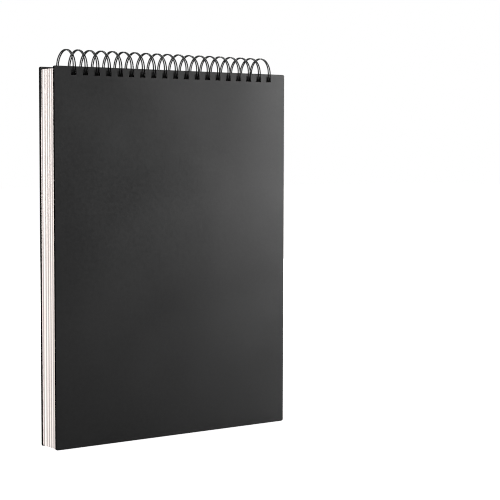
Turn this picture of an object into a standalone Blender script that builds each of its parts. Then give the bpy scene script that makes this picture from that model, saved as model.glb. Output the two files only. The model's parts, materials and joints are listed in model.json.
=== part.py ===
"""Top-bound sketchbook: two stiff covers and a block of sheets on one twin-loop wire.

Units are metres.  X runs along the width, Y through the thickness (the front
cover faces -Y) and Z up from the bottom edge, with the world origin under the
middle of the standing book.  Every object's own origin is on the binding axis,
the centre line of the wire loops along X at height BIND_Z.  A leaf turned about
it keeps its holes riding on the round wire.
"""

import math

import bmesh
import bpy

MM = 0.001

# ---- covers ---------------------------------------------------------------
COVER_W = 180.0 * MM
COVER_H = 240.0 * MM
BOARD_T = 1.8 * MM
BOOK_T = 19.6 * MM
COVER_OUTER_Y = BOOK_T / 2.0
COVER_INNER_Y = COVER_OUTER_Y - BOARD_T
COVER_CORNER_R = 1.0 * MM
COVER_CORNER_SEGMENTS = 3
COVER_EDGE_R = 0.3 * MM
COVER_EDGE_SEGMENTS = 2

# ---- sheets, modelled as separate sections of the block ---------------------
SHEET_SIDE_INSET = 0.4 * MM
SHEET_TOP_INSET = 1.7 * MM
SHEET_BOTTOM_INSET = 0.6 * MM
SECTION_COUNT = 18
SECTION_GAP = 0.28 * MM
COVER_TO_SHEETS_GAP = 0.3 * MM
SHEETS_FRONT_Y = -COVER_INNER_Y + COVER_TO_SHEETS_GAP
SHEETS_REAR_Y = 6.85 * MM
SECTION_PITCH = (SHEETS_REAR_Y - SHEETS_FRONT_Y + SECTION_GAP) / SECTION_COUNT
SECTION_T = SECTION_PITCH - SECTION_GAP

# ---- binding wire ---------------------------------------------------------
LOOP_COUNT = 19
LOOP_PITCH = 25.4 / 3.0 * MM      # three loops to the inch
AXIS_ABOVE_COVERS = 0.12 * MM
BIND_Z = COVER_H + AXIS_ABOVE_COVERS
RING_R = 10.65 * MM               # binding axis to wire centre line
WIRE_R = 0.45 * MM
WIRE_BEVEL_RESOLUTION = 1
BASE_SPREAD = 2.5 * MM            # between a loop's two strands, at the bar
TIP_SPREAD = 1.4 * MM             # the same, at the hairpin tip
BAR_Y = 7.45 * MM                 # straight bars that join the loops
BAR_CORNER_R = 0.8 * MM
TIP_ANGLE = math.radians(-400.5)  # far end of the hairpin, see on_ring
STRAND_STEPS = 18
CORNER_STEPS = 2
TIP_STEPS = 4
END_STUB = 1.6 * MM

# ---- holes, one per wire loop ---------------------------------------------
HOLE_W = 4.0 * MM
# Depths below BIND_Z.  Cover holes slope with the round wire, so each edge has
# a depth at the (outer, inner) face of the board.
COVER_HOLE_TOP = (2.0 * MM, 5.85 * MM)
COVER_HOLE_BOTTOM = (5.6 * MM, 8.0 * MM)
SHEET_HOLE_TOP = 6.25 * MM
SHEET_HOLE_BOTTOM = 11.3 * MM
# How far a cover's cutter passes beyond each face of the board.
PUNCH_PAST_OUTER = 0.4 * MM
PUNCH_PAST_INNER = 0.2 * MM

COVER_COLOR = (0.028, 0.028, 0.029)
PAPER_COLOR = (0.86, 0.84, 0.80)
WIRE_COLOR = (0.02, 0.022, 0.022)

OBJECT_NAME = "sketchbook"


# ---- scene, material and mesh helpers ---------------------------------------

def clear_scene():
    for obj in list(bpy.data.objects):
        bpy.data.objects.remove(obj, do_unlink=True)


def new_collection(name):
    coll = bpy.data.collections.new(name)
    bpy.context.scene.collection.children.link(coll)
    return coll


def make_material(name, color, roughness, coat=0.0):
    mat = bpy.data.materials.new(name)
    mat.use_nodes = True
    inputs = mat.node_tree.nodes["Principled BSDF"].inputs
    inputs["Base Color"].default_value = (*color, 1.0)
    inputs["Roughness"].default_value = roughness
    inputs["Coat Weight"].default_value = coat
    return mat


def board_material(name):
    return make_material(name + "_board", COVER_COLOR, roughness=0.55)


def paper_material(name):
    return make_material(name + "_paper", PAPER_COLOR, roughness=0.9)


def coating_material(name):
    return make_material(name + "_coating", WIRE_COLOR, roughness=0.25, coat=0.6)


def add_box(bm, low, high):
    """Add a closed box between two opposite corners and return its vertices."""
    verts = bmesh.ops.create_cube(bm, size=1.0)["verts"]
    size = [b - a for a, b in zip(low, high)]
    middle = [(a + b) / 2.0 for a, b in zip(low, high)]
    bmesh.ops.scale(bm, vec=size, verts=verts)
    bmesh.ops.translate(bm, vec=middle, verts=verts)
    return verts


def link_on_axis(name, data, coll):
    """Link an object for data, with its origin on the binding axis."""
    obj = bpy.data.objects.new(name, data)
    obj.location = (0.0, 0.0, BIND_Z)
    coll.objects.link(obj)
    return obj


def mesh_object(name, bm, coll):
    """Turn bm, drawn in world coordinates, into an object."""
    bmesh.ops.translate(bm, vec=(0.0, 0.0, -BIND_Z), verts=bm.verts)
    mesh = bpy.data.meshes.new(name)
    bm.to_mesh(mesh)
    bm.free()
    return link_on_axis(name, mesh, coll)


# ---- hole cutters -----------------------------------------------------------

def loop_x(index):
    return (index - (LOOP_COUNT - 1) / 2.0) * LOOP_PITCH


def cutter_object(name, bm, coll):
    obj = mesh_object(name, bm, coll)
    obj.display_type = "WIRE"
    obj.hide_render = True
    return obj


def sheet_cutter(name, coll):
    """Straight blocks through the whole block of sheets."""
    bm = bmesh.new()
    for k in range(LOOP_COUNT):
        x = loop_x(k)
        add_box(
            bm,
            (x - HOLE_W / 2.0, -BOOK_T, BIND_Z - SHEET_HOLE_BOTTOM),
            (x + HOLE_W / 2.0, BOOK_T, BIND_Z - SHEET_HOLE_TOP),
        )
    return cutter_object(name, bm, coll)


def cover_hole_depth(y, edge_depths):
    """Depth at y of a sloping hole edge, carried on in line past both faces."""
    outer, inner = edge_depths
    return outer + (inner - outer) * (COVER_OUTER_Y - y) / BOARD_T


def cover_cutter(name, coll, side):
    """Blocks that slope through one board; side is -1 in front, 1 behind."""
    bm = bmesh.new()
    for k in range(LOOP_COUNT):
        x = loop_x(k)
        # Only the signs of Y and Z matter here: they pick each vertex's place.
        block = add_box(
            bm, (x - HOLE_W / 2.0, -1.0, -1.0), (x + HOLE_W / 2.0, 1.0, 1.0),
        )
        for vert in block:
            if vert.co.y * side > 0.0:
                y = COVER_OUTER_Y + PUNCH_PAST_OUTER
            else:
                y = COVER_INNER_Y - PUNCH_PAST_INNER
            edge_depths = COVER_HOLE_TOP if vert.co.z > 0.0 else COVER_HOLE_BOTTOM
            vert.co.y = side * y
            vert.co.z = BIND_Z - cover_hole_depth(y, edge_depths)
    return cutter_object(name, bm, coll)


def punch(obj, cutter):
    mod = obj.modifiers.new("punched_holes", "BOOLEAN")
    mod.operation = "DIFFERENCE"
    mod.solver = "EXACT"
    mod.object = cutter


# ---- covers and sheets ------------------------------------------------------

def y_extent(edge):
    return abs(edge.verts[0].co.y - edge.verts[1].co.y)


def round_edges(bm, edges, radius, segments):
    bmesh.ops.bevel(
        bm, geom=edges, offset=radius, offset_type="OFFSET",
        segments=segments, profile=0.5, affect="EDGES",
    )


def cover_board(name, coll, y_low, y_high, cutter):
    bm = bmesh.new()
    add_box(bm, (-COVER_W / 2.0, y_low, 0.0), (COVER_W / 2.0, y_high, COVER_H))
    # The four corners run through the board; the rims lie in its two faces.
    corners = [e for e in bm.edges if y_extent(e) > BOARD_T / 2.0]
    round_edges(bm, corners, COVER_CORNER_R, COVER_CORNER_SEGMENTS)
    rims = [e for e in bm.edges if y_extent(e) < BOARD_T / 4.0]
    round_edges(bm, rims, COVER_EDGE_R, COVER_EDGE_SEGMENTS)
    obj = mesh_object(name, bm, coll)
    obj.data.materials.append(board_material(name))
    punch(obj, cutter)


def sheet_section(name, coll, y_low, cutter):
    half_w = COVER_W / 2.0 - SHEET_SIDE_INSET
    bm = bmesh.new()
    add_box(
        bm,
        (-half_w, y_low, SHEET_BOTTOM_INSET),
        (half_w, y_low + SECTION_T, COVER_H - SHEET_TOP_INSET),
    )
    obj = mesh_object(name, bm, coll)
    obj.data.materials.append(paper_material(name))
    punch(obj, cutter)


# ---- binding wire -----------------------------------------------------------

def on_ring(x, angle):
    """Point on the loop cylinder about the binding axis; 0 is +Y, 90 degrees is up."""
    return (x, RING_R * math.cos(angle), RING_R * math.sin(angle))


def loop_outline(bar_angle):
    """One loop unrolled, as (x from the loop's middle, angle), from -X to +X."""
    corner_turn = BAR_CORNER_R / RING_R
    tip_r = TIP_SPREAD / 2.0
    tip_turn = tip_r / RING_R
    strand_start = bar_angle - corner_turn
    strand_end = TIP_ANGLE + tip_turn

    left = []
    # corner from the bar into the strand
    for i in range(CORNER_STEPS + 1):
        a = math.pi / 2.0 * i / CORNER_STEPS
        left.append((
            -BASE_SPREAD / 2.0 - BAR_CORNER_R * (1.0 - math.sin(a)),
            bar_angle - corner_turn * (1.0 - math.cos(a)),
        ))
    # strand round the ring, closing in towards the tip
    for i in range(1, STRAND_STEPS):
        t = i / STRAND_STEPS
        spread = BASE_SPREAD + (TIP_SPREAD - BASE_SPREAD) * t
        left.append((-spread / 2.0, strand_start + (strand_end - strand_start) * t))

    hairpin = []
    for i in range(TIP_STEPS + 1):
        a = math.pi * i / TIP_STEPS
        hairpin.append((-tip_r * math.cos(a), strand_end - tip_turn * math.sin(a)))

    right = [(-x, angle) for x, angle in reversed(left)]
    return left + hairpin + right


def wire_path():
    """Centre line of the whole comb, from one end stub to the other."""
    bar_angle = -math.acos(BAR_Y / RING_R)
    outline = loop_outline(bar_angle)
    end_x = loop_x(LOOP_COUNT - 1) + BASE_SPREAD / 2.0 + BAR_CORNER_R + END_STUB

    points = [on_ring(-end_x, bar_angle)]
    for k in range(LOOP_COUNT):
        points += [on_ring(loop_x(k) + x, angle) for x, angle in outline]
    points.append(on_ring(end_x, bar_angle))
    return points


def binding_wire(name, coll):
    points = wire_path()
    curve = bpy.data.curves.new(name, "CURVE")
    curve.dimensions = "3D"
    curve.bevel_depth = WIRE_R
    curve.bevel_resolution = WIRE_BEVEL_RESOLUTION
    curve.use_fill_caps = True
    curve.twist_mode = "MINIMUM"
    spline = curve.splines.new("POLY")
    spline.points.add(len(points) - 1)
    for spline_point, position in zip(spline.points, points):
        spline_point.co = (*position, 1.0)
    link_on_axis(name, curve, coll)
    curve.materials.append(coating_material(name))


def build():
    clear_scene()
    parts = new_collection(OBJECT_NAME)
    cutters = new_collection(OBJECT_NAME + "_cutters")
    cutters.hide_render = True

    front_punch = cover_cutter("front_punch", cutters, side=-1)
    rear_punch = cover_cutter("rear_punch", cutters, side=1)
    sheet_punch = sheet_cutter("sheet_punch", cutters)

    cover_board("front_cover", parts, -COVER_OUTER_Y, -COVER_INNER_Y, front_punch)
    cover_board("rear_cover", parts, COVER_INNER_Y, COVER_OUTER_Y, rear_punch)

    for i in range(SECTION_COUNT):
        y_low = SHEETS_FRONT_Y + i * SECTION_PITCH
        sheet_section(f"sheets_{i + 1:02d}", parts, y_low, sheet_punch)

    binding_wire("binding_wire", parts)


build()
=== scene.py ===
"""Twin-loop wire-bound drawing pad with black board covers.

X runs along the binding, the front cover faces -Y and the rear cover +Y.
The wire runs along the top (+Z) and the sheets hang below it.
"""
import json
import math
import random

import bmesh
import bpy
from mathutils import Matrix, Vector


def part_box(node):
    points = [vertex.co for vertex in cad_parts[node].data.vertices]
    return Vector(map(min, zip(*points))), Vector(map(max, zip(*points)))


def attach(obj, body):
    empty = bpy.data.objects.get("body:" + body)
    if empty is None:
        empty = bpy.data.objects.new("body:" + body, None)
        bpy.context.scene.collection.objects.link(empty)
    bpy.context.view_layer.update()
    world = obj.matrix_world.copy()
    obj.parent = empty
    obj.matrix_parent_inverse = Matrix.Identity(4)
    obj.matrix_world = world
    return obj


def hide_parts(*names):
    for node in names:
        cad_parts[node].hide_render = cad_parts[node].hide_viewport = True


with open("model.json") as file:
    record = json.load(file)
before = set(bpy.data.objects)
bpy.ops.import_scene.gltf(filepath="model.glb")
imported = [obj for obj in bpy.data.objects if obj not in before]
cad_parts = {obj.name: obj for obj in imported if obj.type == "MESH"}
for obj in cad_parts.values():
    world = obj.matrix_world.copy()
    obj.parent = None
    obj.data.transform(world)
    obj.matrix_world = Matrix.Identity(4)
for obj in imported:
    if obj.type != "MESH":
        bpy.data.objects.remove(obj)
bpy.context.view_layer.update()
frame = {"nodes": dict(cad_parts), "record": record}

MM = 0.001
rng = random.Random(1907)

NODES = frame["nodes"]
BEHAVIOUR = frame["record"]["behaviour"]
BODY_OF = {node: body for body, nodes in BEHAVIOUR["bodies"].items() for node in nodes}
BIND_Z = next(j for j in BEHAVIOUR["joints"] if j["name"] == "cover_turn")["pos_m"][2]

# binding dimensions shared by the sheets and the wire
LOOPS = 19
PITCH = 25.4 / 3.0 * MM
RING_R = 10.65 * MM
WIRE_R = 0.41 * MM
HOLE_W = 4.0 * MM
HOLE_TOP = 6.25 * MM  # below the binding axis
HOLE_BOTTOM = 11.3 * MM


def loop_x(k):
    return (k - (LOOPS - 1) / 2.0) * PITCH


# --------------------------------------------------------------------------
# objects
# --------------------------------------------------------------------------
def add_object(name, data):
    obj = bpy.data.objects.new(name, data)
    bpy.context.scene.collection.objects.link(obj)
    return obj


def mesh_from(bm, name):
    mesh = bpy.data.meshes.new(name)
    bm.to_mesh(mesh)
    bm.free()
    return mesh


def add_piece(mesh, material, node):
    """Stand the mesh in for a CAD node, moving with that node's body."""
    obj = add_object(mesh.name, mesh)
    mesh.materials.append(material)
    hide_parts(node)
    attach(obj, BODY_OF[node])
    return obj


# --------------------------------------------------------------------------
# materials
# --------------------------------------------------------------------------
class Shader:
    """Builds the node tree of a material or world around its main node."""

    def __init__(self, owner, main="Principled BSDF"):
        owner.use_nodes = True
        self.owner = owner
        self.tree = owner.node_tree
        self.main = self.tree.nodes[main]

    def feed(self, socket, value):
        """Link a socket, or set a number, vector or RGB colour."""
        if isinstance(value, bpy.types.NodeSocket):
            self.tree.links.new(value, socket)
        else:
            socket.default_value = (*value, 1.0) if socket.type == "RGBA" else value

    def fill(self, node, **inputs):
        for name, value in inputs.items():
            self.feed(node.inputs[name.replace("_", " ")], value)

    def add(self, kind, *ordered, **named):
        """Capitalised names are inputs, the others settings; ordered values fill inputs."""
        node = self.tree.nodes.new(kind)
        for name, value in named.items():
            if name[0].isupper():
                self.fill(node, **{name: value})
            else:
                setattr(node, name, value)
        for socket, value in zip(node.inputs, ordered):
            self.feed(socket, value)
        return node

    def noise(self, coords, scale, detail=4.0, rough=0.55, stretch=None):
        node = self.add("ShaderNodeTexNoise", Scale=scale, Detail=detail, Roughness=rough)
        if stretch is not None:
            mapping = self.add("ShaderNodeMapping", Vector=coords, Scale=stretch)
            coords = mapping.outputs["Vector"]
        self.fill(node, Vector=coords)
        return node.outputs["Fac"]

    def ramp(self, fac, *stops):
        """Colour ramp through (position, RGB) stops."""
        node = self.add("ShaderNodeValToRGB", Fac=fac)
        elements = node.color_ramp.elements
        while len(elements) < len(stops):
            elements.new(0.5)
        for element, (position, colour) in zip(elements, stops):
            element.position = position
            element.color = (*colour, 1.0)
        return node.outputs["Color"]

    def remap(self, value, span=(0.0, 1.0), to=(0.0, 1.0)):
        node = self.add("ShaderNodeMapRange", From_Min=span[0], From_Max=span[1],
                        To_Min=to[0], To_Max=to[1], Value=value)
        return node.outputs["Result"]

    def math(self, operation, *values):
        return self.add("ShaderNodeMath", *values, operation=operation).outputs[0]

    def mix(self, fac, first, second, blend="MIX"):
        node = self.add("ShaderNodeMix", fac, data_type="RGBA", blend_type=blend)
        self.feed(node.inputs[6], first)
        self.feed(node.inputs[7], second)
        return node.outputs[2]

    def bump(self, height, strength, distance, normal=None):
        node = self.add("ShaderNodeBump", Strength=strength, Distance=distance, Height=height)
        if normal is not None:
            self.fill(node, Normal=normal)
        return node.outputs["Normal"]


def grey(value):
    return (value, value, value)


def cover_material():
    """Stiff black board: fine grain, cloudy sheen, faintly worn rims."""
    sh = Shader(bpy.data.materials.new("black_cover_board"))
    tex = sh.add("ShaderNodeTexCoord")
    coords = tex.outputs["Object"]
    grain = sh.noise(coords, scale=1500.0, detail=3.0, rough=0.6)
    mottle = sh.noise(coords, scale=420.0, detail=4.0, rough=0.65)
    cloud = sh.noise(coords, scale=16.0, detail=3.0, rough=0.5)
    fine = sh.noise(coords, scale=2600.0, detail=2.0, rough=0.6)
    colour = sh.ramp(mottle, (0.25, (0.0096, 0.0096, 0.0098)), (0.75, (0.0138, 0.0138, 0.0140)))
    specks = sh.remap(fine, span=(0.35, 0.65), to=(0.0, 0.36))
    colour = sh.mix(specks, colour, (0.0052, 0.0052, 0.0053))

    # the board's edges rub a little lighter in places
    bevel = sh.add("ShaderNodeBevel", samples=6, Radius=0.45 * MM)
    geometry = sh.add("ShaderNodeNewGeometry")
    facing = sh.add("ShaderNodeVectorMath", bevel.outputs["Normal"], geometry.outputs["Normal"],
                    operation="DOT_PRODUCT")
    rim = sh.remap(facing.outputs["Value"], span=(0.985, 0.90))
    patch = sh.noise(coords, scale=90.0, detail=5.0, rough=0.7)
    wear = sh.math("MULTIPLY", rim, sh.remap(patch, span=(0.48, 0.66)))
    wear_amount = 0.45
    colour = sh.mix(sh.math("MULTIPLY", wear, wear_amount), colour, (0.06, 0.058, 0.056))

    # the board's cut rims are painted near black, far blacker than its faces, and reflect
    # nothing: painted shade that no lamp lifts
    normal = sh.add("ShaderNodeSeparateXYZ", tex.outputs["Normal"])
    facing_y = sh.math("ABSOLUTE", normal.outputs["Y"])
    rim_shade_mask = sh.remap(facing_y, span=(0.60, 0.92), to=(1.0, 0.0))
    colour = sh.mix(rim_shade_mask, colour, grey(0.0012))
    specular = sh.remap(rim_shade_mask, to=(0.42, 0.0))
    rough = sh.math("ADD", sh.remap(mottle, span=(0.3, 0.7), to=(0.31, 0.35)),
                    sh.remap(cloud, span=(0.3, 0.7), to=(-0.02, 0.03)))
    relief = sh.bump(mottle, strength=0.17, distance=0.06 * MM)
    relief = sh.bump(grain, strength=0.16, distance=0.03 * MM, normal=relief)
    sh.fill(sh.main, Base_Color=colour, Specular_IOR_Level=specular, Roughness=rough,
            Sheen_Roughness=0.4, Normal=relief)
    return sh.owner


def paper_material():
    """Off-white drawing paper; the cut edges carry painted shade lines between the stack's
    bundles.
    """
    sh = Shader(bpy.data.materials.new("drawing_paper_sheets"))
    tex = sh.add("ShaderNodeTexCoord")
    coords = tex.outputs["Object"]
    normal = sh.add("ShaderNodeSeparateXYZ", tex.outputs["Normal"])
    edge_limit = 0.5
    edge = sh.math("LESS_THAN", sh.math("ABSOLUTE", normal.outputs["Y"]), edge_limit)
    # per-sheet amount of painted shade for the lines between the bundles
    shade_tint = sh.add("ShaderNodeAttribute", attribute_name="sheet_painted_shade").outputs["Fac"]
    warm = sh.add("ShaderNodeAttribute", attribute_name="sheet_warm").outputs["Fac"]
    tooth = sh.noise(coords, scale=1300.0, detail=5.0, rough=0.65)
    fibre = sh.noise(coords, scale=260.0, detail=6.0, rough=0.7)
    blotch = sh.noise(coords, scale=22.0, detail=3.0)
    flat = sh.ramp(fibre, (0.3, (0.86, 0.85, 0.825)), (0.7, (0.905, 0.895, 0.875)))
    blotches = sh.remap(blotch, span=(0.35, 0.65), to=(0.0, 0.18))
    flat = sh.mix(blotches, flat, (0.84, 0.825, 0.79))
    # cut edges: painted shade colour in those lines, off-white between them
    cut = sh.mix(shade_tint, (0.25, 0.217, 0.207), (0.93, 0.875, 0.845))
    warm_amount = 0.5
    cut = sh.mix(sh.math("MULTIPLY", warm, warm_amount), cut, (0.9, 0.8, 0.79), "MULTIPLY")

    # long soft drags from the guillotine blade along the cut edges
    drag = sh.noise(coords, scale=60.0, detail=2.0, rough=0.5, stretch=(1.0, 12.0, 0.25))
    drag = sh.remap(drag, span=(0.35, 0.7), to=(0.0, 0.22))
    cut = sh.mix(drag, cut, (0.66, 0.62, 0.60), "MULTIPLY")
    colour = sh.mix(edge, flat, cut)
    rough = sh.remap(tooth, span=(0.3, 0.7), to=(0.82, 0.95))

    # the tooth is on the faces, the guillotined edges are nearly smooth
    keep = sh.remap(edge, to=(1.0, 0.1))
    relief = sh.bump(sh.math("MULTIPLY", tooth, keep), strength=0.25, distance=0.04 * MM)
    relief = sh.bump(sh.math("MULTIPLY", fibre, keep), strength=0.12, distance=0.06 * MM,
                     normal=relief)
    sh.fill(sh.main, Base_Color=colour, Roughness=rough, Specular_IOR_Level=0.25, Normal=relief)
    return sh.owner


def wire_material():
    """Black nylon-coated steel wire: glossy, with tiny dimples and rubs."""
    sh = Shader(bpy.data.materials.new("black_coated_wire"))
    coords = sh.add("ShaderNodeTexCoord").outputs["Object"]
    dimple = sh.noise(coords, scale=1100.0, detail=3.0)
    rub = sh.noise(coords, scale=150.0, detail=5.0, rough=0.7)
    colour = sh.ramp(rub, (0.35, (0.009, 0.011, 0.0105)), (0.62, (0.016, 0.019, 0.018)),
                     (0.8, (0.045, 0.052, 0.050)))

    # in and below the punched holes the wire is painted near black and given less reflection:
    # painted shade of the holes, the coating itself being the same all along
    place = sh.add("ShaderNodeSeparateXYZ", coords)
    clear_of_hole_shade = sh.remap(place.outputs["Z"], span=(BIND_Z - 0.4 * MM, BIND_Z + 1.1 * MM))
    sh.fill(
        sh.main,
        Base_Color=sh.mix(clear_of_hole_shade, grey(0.003), colour),
        Roughness=sh.remap(rub, span=(0.3, 0.8), to=(0.30, 0.46)),
        Specular_IOR_Level=sh.remap(clear_of_hole_shade, to=(0.12, 0.38)),
        Coat_Weight=0.12,
        Coat_Roughness=0.2,
        Normal=sh.bump(dimple, strength=0.12, distance=0.03 * MM),
    )
    return sh.owner


def floor_material():
    """Pale paper sweep: reads white to the camera, returns only a soft light."""
    sh = Shader(bpy.data.materials.new("studio_floor"))
    coords = sh.add("ShaderNodeTexCoord").outputs["Object"]
    speck = sh.noise(coords, scale=40.0, detail=3.0)
    sh.fill(sh.main, Base_Color=sh.ramp(speck, (0.3, grey(0.80)), (0.7, grey(0.83))),
            Roughness=0.9, Specular_IOR_Level=0.0)
    glow = sh.add("ShaderNodeEmission", Strength=0.97)
    lit = sh.add("ShaderNodeAddShader", sh.main.outputs[0], glow.outputs[0])
    dim = sh.add("ShaderNodeBsdfDiffuse", Color=grey(0.20))
    path = sh.add("ShaderNodeLightPath")
    pick = sh.add("ShaderNodeMixShader", path.outputs["Is Camera Ray"],
                  dim.outputs[0], lit.outputs[0])
    sh.fill(sh.tree.nodes["Material Output"], Surface=pick.outputs[0])
    return sh.owner


COVER = cover_material()
PAPER = paper_material()
WIRE = wire_material()


# --------------------------------------------------------------------------
# covers keep their CAD shape
# --------------------------------------------------------------------------
BOARDS = [NODES["front_cover"], NODES["rear_cover"]]
for board in BOARDS:
    if board.material_slots:
        for material_slot in board.material_slots:
            material_slot.material = COVER
    else:
        board.data.materials.append(COVER)


# --------------------------------------------------------------------------
# sheets: every section becomes a few real leaves with cut edges
# --------------------------------------------------------------------------
SHEETS_PER_SECTION = 5
SECTIONS = sorted(node for node in NODES if node.startswith("sheets_"))
SHEET_COUNT = SHEETS_PER_SECTION * len(SECTIONS)
SHEET_GAP = 0.006 * MM
SECTION_GAP = 0.02 * MM
COVER_GAP = 0.03 * MM

# sheet edges: the front sheets reach out furthest at both sides
FRONT_OVERHANG = 0.2 * MM
OVERHANG_LOSS = 0.27 * MM  # from the front of the stack to its rear
SHADE_LINE_INSET = 0.12 * MM
LEFT_RAGGED = 0.03 * MM
RIGHT_RAGGED = 0.05 * MM
TOP_RAGGED = 0.12 * MM
BOTTOM_RAGGED = 0.2 * MM

# painted shade lines across the stack's edge, where the bundles meet
SHADE_LINES = 5.0
SHADE_LINE_SHARPNESS = 1.1
SHADE_LINE_DEPTH = [rng.uniform(0.72, 1.0) for _ in range(math.ceil(SHADE_LINES))]
WOBBLE = 0.07  # in streaks
WOBBLE_RATE = 0.31  # radians a sheet

# sheets that stay on the rear cover relax back against it below the wire
RESTING = [node for node in SECTIONS if BODY_OF[node] == BODY_OF["rear_cover"]]
REST_Y0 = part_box(RESTING[0])[0][1]
REST_Y1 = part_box(RESTING[-1])[1][1]
REST_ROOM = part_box("rear_cover")[0][1] - REST_Y1 - COVER_GAP
REST_START = 13.0 * MM  # below the binding axis
REST_LENGTH = 32.0 * MM
REST_ROWS = (46, 38, 32, 27, 23, 19.5, 16.5, 14)  # grid rows, mm below the binding axis


def bundle_shade(sheet):
    """0 on the palest sheets, 1 in the painted shade line between two bundles."""
    turn = (sheet + 0.5) / SHEET_COUNT * SHADE_LINES
    phase = 2 * math.pi * (turn + WOBBLE * math.sin(sheet * WOBBLE_RATE))
    wave = 0.5 - 0.5 * math.cos(phase)
    return wave ** SHADE_LINE_SHARPNESS * SHADE_LINE_DEPTH[int(turn)]


def relax(y, z):
    t = max(0.0, min(1.0, (BIND_Z - REST_START - z) / REST_LENGTH))
    return y + REST_ROOM * (y - REST_Y0) / (REST_Y1 - REST_Y0) * t * t * (3 - 2 * t)


def leaf_faces(bm, x0, x1, z0, z1, y, rows):
    """Flat punched leaf in the XZ plane at y, as a grid that skips the holes."""
    xs = [x0]
    for k in range(LOOPS):
        xs += [loop_x(k) - HOLE_W / 2.0, loop_x(k) + HOLE_W / 2.0]
    xs.append(x1)
    zs = [z0, *[BIND_Z - row * MM for row in rows], BIND_Z - HOLE_BOTTOM, BIND_Z - HOLE_TOP, z1]
    hole_row = len(zs) - 3
    grid = [[bm.verts.new((x, y, z)) for z in zs] for x in xs]
    faces = []
    for i in range(len(xs) - 1):
        for j in range(len(zs) - 1):
            if j == hole_row and i % 2 == 1:
                continue
            corners = (grid[i][j], grid[i + 1][j], grid[i + 1][j + 1], grid[i][j + 1])
            faces.append(bm.faces.new(corners))
    return faces


def add_section(index, node):
    low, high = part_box(node)
    # closed, the bundles press together, so each fills the slot up to the next
    near = low[1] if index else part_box("front_cover")[1][1] + COVER_GAP
    last = index + 1 == len(SECTIONS)
    far = high[1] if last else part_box(SECTIONS[index + 1])[0][1] - SECTION_GAP
    sheet_pitch = (far - near) / SHEETS_PER_SECTION
    rests = node in RESTING
    bm = bmesh.new()
    shade_tint_layer = bm.faces.layers.float.new("sheet_painted_shade")
    warm_layer = bm.faces.layers.float.new("sheet_warm")
    for s in range(SHEETS_PER_SECTION):
        sheet = index * SHEETS_PER_SECTION + s
        shade_amount = bundle_shade(sheet)
        overhang = FRONT_OVERHANG - OVERHANG_LOSS * sheet / SHEET_COUNT
        left = rng.uniform(0.0, LEFT_RAGGED) + SHADE_LINE_INSET * shade_amount - overhang
        right = rng.uniform(0.0, RIGHT_RAGGED) + SHADE_LINE_INSET * shade_amount - overhang
        drop = rng.uniform(0.0, TOP_RAGGED)
        rise = rng.uniform(0.0, BOTTOM_RAGGED)
        before = set(bm.faces)
        faces = leaf_faces(
            bm, x0=low[0] + left, x1=high[0] - right, z0=low[2] + rise, z1=high[2] - drop,
            y=near + s * sheet_pitch, rows=REST_ROWS if rests else ())
        extruded = bmesh.ops.extrude_face_region(bm, geom=faces)["geom"]
        moved = [item for item in extruded if isinstance(item, bmesh.types.BMVert)]
        bmesh.ops.translate(bm, verts=moved, vec=(0.0, sheet_pitch - SHEET_GAP, 0.0))
        # painted shade of the line between bundles, with a little random tone
        shade_tint = max(0.0, min(1.0, 1.0 - shade_amount + rng.uniform(-0.03, 0.02)))
        warm = rng.uniform(0.2, 0.6)
        for face in bm.faces:
            if face not in before:
                face[shade_tint_layer] = shade_tint
                face[warm_layer] = warm
    if rests:
        for vert in bm.verts:
            vert.co.y = relax(vert.co.y, vert.co.z)
    bmesh.ops.recalc_face_normals(bm, faces=bm.faces)
    return add_piece(mesh_from(bm, "leaves_" + node[-2:]), PAPER, node)


LEAVES = [add_section(index, node) for index, node in enumerate(SECTIONS)]


# --------------------------------------------------------------------------
# binding wire: a round comb of twin-strand loops, each a touch off
# --------------------------------------------------------------------------
BASE_SPREAD = 2.5 * MM  # between a loop's two strands at the bar
TIP_SPREAD = 1.2 * MM
TAPER_RATE = 1.9  # the taper ends at 1 / rate of the strand
BAR_Y = 7.45 * MM
BAR_CORNER_R = 0.8 * MM
BAR_STUB = 1.6 * MM  # beyond the first and last loops
CORNER_STEPS = 5
STRAND_STEPS = 44
TIP_STEPS = 8

# angles about the binding axis, from +Y towards +Z
BAR_ANGLE = -math.acos(BAR_Y / RING_R)
CORNER_TURN = BAR_CORNER_R / RING_R
STRAND_START = BAR_ANGLE - CORNER_TURN
TIP_R = TIP_SPREAD / 2.0
TIP_TURN = TIP_R / RING_R
STRAND_END = math.radians(-400.5) + TIP_TURN

# a loop strays most at FREE_CENTRE, as a fraction of its strand
FREE_CENTRE = 0.7
FREE_WIDTH = 0.16


def loop_points(k, lean, lift):
    """One loop from the bar round to its tip and back, from -X to +X."""
    centre = loop_x(k)

    def point(x, angle, t):
        """t is 0 at the bar and 1 at the tip."""
        free = math.exp(-((t - FREE_CENTRE) / FREE_WIDTH) ** 2)
        radius = RING_R + lift * free
        return (x + lean * free, radius * math.cos(angle), BIND_Z + radius * math.sin(angle))

    def strand_x(side, t):
        taper = (TIP_SPREAD - BASE_SPREAD) * min(1.0, t * TAPER_RATE)
        return centre + side * 0.5 * (BASE_SPREAD + taper)

    def strand(side, stub):
        """Bar corner and strand on one side, from the bar towards the tip."""
        base_x = strand_x(side, 0)
        points = []
        if stub:
            points.append(point(base_x + side * BAR_CORNER_R + side * BAR_STUB, BAR_ANGLE, 0))
        for i in range(CORNER_STEPS + 1):
            a = math.pi / 2 * i / CORNER_STEPS
            x = base_x + side * BAR_CORNER_R * (1 - math.sin(a))
            points.append(point(x, BAR_ANGLE - CORNER_TURN * (1 - math.cos(a)), 0))
        for i in range(1, STRAND_STEPS):
            t = i / STRAND_STEPS
            angle = STRAND_START + (STRAND_END - STRAND_START) * t
            points.append(point(strand_x(side, t), angle, t))
        return points

    tip = []
    for i in range(TIP_STEPS + 1):
        a = math.pi * i / TIP_STEPS
        tip.append(point(centre - TIP_R * math.cos(a), STRAND_END - TIP_TURN * math.sin(a), 1))
    return strand(-1, k == 0) + tip + strand(1, k == LOOPS - 1)[::-1]


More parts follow.
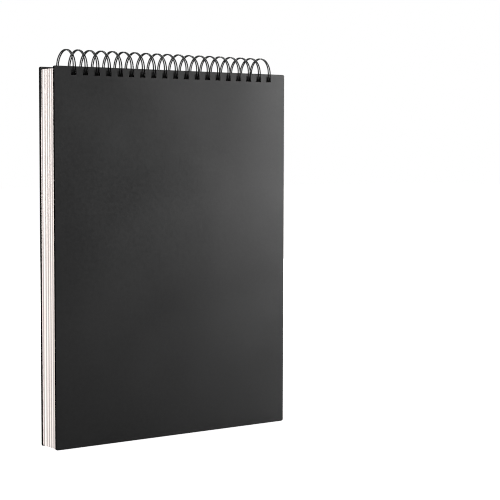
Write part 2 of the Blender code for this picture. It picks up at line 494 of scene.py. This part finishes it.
def add_wire():
    points = []
    for k in range(LOOPS):
        lean = rng.uniform(-0.22, 0.22) * MM
        lift = rng.uniform(-0.06, 0.14) * MM
        points += loop_points(k, lean, lift)
    curve = bpy.data.curves.new("twin_loop_wire", "CURVE")
    curve.dimensions = "3D"
    curve.bevel_depth = WIRE_R
    curve.bevel_resolution = 4
    curve.use_fill_caps = True
    curve.twist_mode = "MINIMUM"
    spline = curve.splines.new("POLY")
    spline.points.add(len(points) - 1)
    for spline_point, place in zip(spline.points, points):
        spline_point.co = (*place, 1.0)
    path = add_object("twin_loop_wire_path", curve)
    bpy.context.view_layer.update()
    depsgraph = bpy.context.evaluated_depsgraph_get()
    mesh = bpy.data.meshes.new_from_object(path.evaluated_get(depsgraph))
    bpy.data.objects.remove(path)
    mesh.name = "twin_loop_wire"
    bm = bmesh.new()
    bm.from_mesh(mesh)
    bmesh.ops.remove_doubles(bm, verts=bm.verts, dist=1e-7)
    bm.to_mesh(mesh)
    bm.free()
    mesh.shade_smooth()
    mesh.set_sharp_from_angle(angle=math.radians(50))
    add_piece(mesh, WIRE, "binding_wire")


add_wire()


# --------------------------------------------------------------------------
# stage, light and camera
# --------------------------------------------------------------------------
FLOOR_Z = -0.4 * MM


def add_floor():
    bm = bmesh.new()
    bmesh.ops.create_grid(bm, x_segments=8, y_segments=8, size=6.0)
    bmesh.ops.translate(bm, verts=bm.verts, vec=(0.0, 0.0, FLOOR_Z))
    obj = add_object("floor", mesh_from(bm, "floor"))
    obj.data.materials.append(floor_material())


def area(name, at, target, size, watts):
    light = bpy.data.lights.new(name, "AREA")
    light.shape = "RECTANGLE"
    light.size, light.size_y = size
    light.energy = watts
    obj = add_object(name, light)
    obj.location = at
    obj.rotation_euler = (Vector(target) - Vector(at)).to_track_quat("-Z", "Y").to_euler()
    return obj


def collect(name, objects):
    collection = bpy.data.collections.new(name)
    for obj in objects:
        collection.objects.link(obj)
    return collection


def add_lights():
    area("key_left", at=(-1.50, 0.24, 0.33), target=(0, 0, 0.12), size=(1.0, 0.9), watts=35.0)
    sheen = area("sheen_right", at=(0.64, -0.28, 0.26), target=(0.06, 0, 0.15),
                 size=(0.24, 0.52), watts=11.2)
    area("top_soft", at=(0.1, 0.15, 1.4), target=(0, 0, 0.1), size=(1.0, 1.0), watts=9.0)
    area("back_soft", at=(1.20, 0.90, 0.50), target=(0, 0, 0.13), size=(0.9, 0.8), watts=27.0)
    card = area("card_left", at=(-0.95, -1.05, 0.80), target=(0, 0, 0.14),
                size=(0.7, 0.7), watts=8.2)
    pages = area("page_card", at=(0.18, -1.45, 0.26), target=(0, 0, 0.20),
                 size=(0.9, 0.9), watts=16.0)

    # two front lights shape the sheen on the boards without the wire's shadow
    receivers = collect("board_receivers", BOARDS)
    blockers = collect("board_blockers", BOARDS + LEAVES)
    for light in (sheen, card):
        light.light_linking.receiver_collection = receivers
        light.light_linking.blocker_collection = blockers
    # the third lights only the sheets
    pages.light_linking.receiver_collection = collect("page_receivers", LEAVES)


def add_world():
    """White to the camera, a dim fill to everything else."""
    world = bpy.data.worlds.new("studio")
    bpy.context.scene.world = world
    sh = Shader(world, main="Background")
    path = sh.add("ShaderNodeLightPath")
    pick = sh.add("ShaderNodeMix", path.outputs["Is Camera Ray"], data_type="FLOAT")
    pick.inputs[2].default_value = 0.095  # fill strength
    pick.inputs[3].default_value = 1.0  # strength seen by the camera
    sh.fill(sh.main, Strength=pick.outputs[0], Color=grey(1.0))


def add_camera():
    """Camera front-left of the book, a little above its middle."""
    azimuth, elevation, roll = map(math.radians, (-36.722, 3.730, 0.140))
    camera = bpy.data.cameras.new("camera")
    camera.sensor_width = 36.0
    camera.lens = 107.26
    camera.clip_start = 0.01
    camera.clip_end = 50.0
    obj = add_object("camera", camera)
    back = Vector((math.sin(azimuth) * math.cos(elevation),
                   -math.cos(azimuth) * math.cos(elevation), math.sin(elevation)))
    right = (-back).cross(Vector((0, 0, 1))).normalized()
    up = right.cross(-back)
    rolled_right = right * math.cos(roll) + up * math.sin(roll)
    rolled_up = up * math.cos(roll) - right * math.sin(roll)
    obj.rotation_euler = Matrix((rolled_right, rolled_up, back)).transposed().to_euler()
    obj.location = (-0.54471, -0.82156, 0.18648)
    bpy.context.scene.camera = obj


add_floor()
add_lights()
add_world()
scene = bpy.context.scene
scene.view_settings.view_transform = "Standard"
scene.view_settings.look = "None"
scene.cycles.filter_width = 1.1
add_camera()
